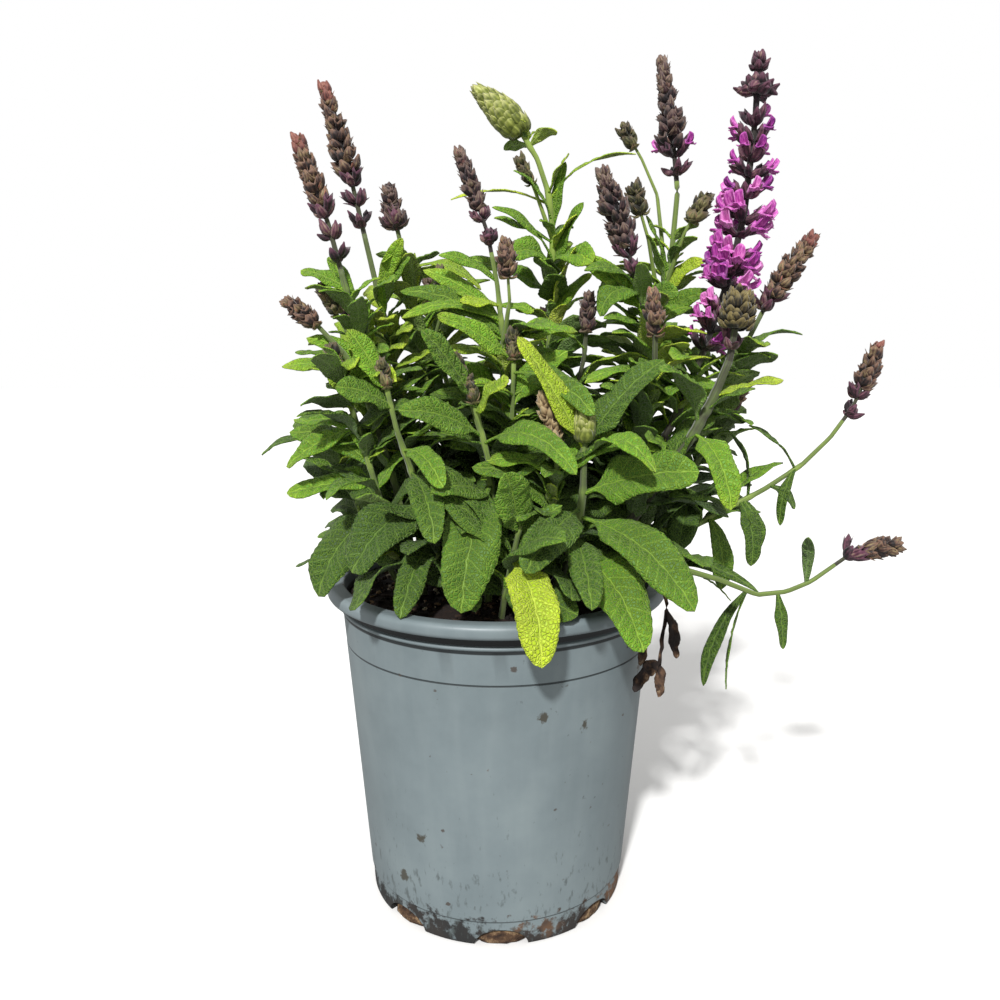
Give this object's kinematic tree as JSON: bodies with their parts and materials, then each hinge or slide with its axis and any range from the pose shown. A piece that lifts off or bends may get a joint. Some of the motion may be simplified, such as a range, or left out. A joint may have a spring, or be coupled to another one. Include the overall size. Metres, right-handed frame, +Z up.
{
  "type": "potted flowering sage plant",
  "caption": "Bushy rose-flowered salvia with upright maroon flower spikes and one stem in pink bloom, growing in compost in a tapered grey nursery pot",
  "frame": {"origin": "centre of the pot's underside, on the surface it rests on", "axes": "+Z up along the pot's axis, -Y towards the viewer, +X to the viewer's right"},
  "size_m": [0.302, 0.2198, 0.4054],
  "materials": {
    "bloom": "velvety petals",
    "compost": "crumbly, damp",
    "dried": "living plant, dull and finely hairy",
    "green_bud": "living plant, dull and finely hairy",
    "leaf": "living plant, dull and finely hairy",
    "maroon": "living plant, dull and finely hairy",
    "olive": "living plant, dull and finely hairy",
    "pot": "satin",
    "russet": "living plant, dull and finely hairy",
    "withered": "dry, dull"
  },
  "bodies": {
    "root": {"back_centre_left_spike": "maroon", "back_centre_left_stem": "leaf", "back_centre_spike": "maroon", "back_centre_stem": "leaf", "back_far_right_spike": "russet", "back_far_right_stem": "leaf", "back_left_spike": "russet", "back_left_stem": "leaf", "back_right_spike": "olive", "back_right_stem": "leaf", "centre_tall_side_0_spike": "russet", "centre_tall_spike": "maroon", "centre_tall_stem": "leaf", "compost": "compost", "dark_cone_spike": "maroon", "dark_cone_stem": "leaf", "far_right_high_spike": "russet", "far_right_high_stem": "leaf", "far_right_low_spike": "russet", "far_right_low_stem": "leaf", "flowering_bloom": "bloom", "flowering_spike": "maroon", "flowering_stem": "leaf", "front_bud_spike": "green_bud", "front_bud_stem": "leaf", "front_left_stem": "leaf", "green_bud_spike": "green_bud", "green_bud_stem": "leaf", "left_front_inner_stem": "leaf", "left_front_stem": "leaf", "left_low_spike": "russet", "left_low_stem": "leaf", "left_second_spike": "russet", "left_second_stem": "leaf", "left_tall_spike": "russet", "left_tall_stem": "leaf", "left_third_spike": "maroon", "left_third_stem": "leaf", "low_back_stem": "leaf", "low_front_stem": "leaf", "low_left_stem": "leaf", "mid_front_stem": "leaf", "mid_right_front_spike": "russet", "mid_right_front_stem": "leaf", "mid_right_spike": "maroon", "mid_right_stem": "leaf", "olive_cone_spike": "olive", "olive_cone_stem": "leaf", "pale_spike_spike": "dried", "pale_spike_stem": "leaf", "pot": "pot", "right_lean_spike": "russet", "right_lean_stem": "leaf", "right_tall_spike": "maroon", "right_tall_stem": "leaf", "withered_leaf": "withered"}
  },
  "joints": []
}
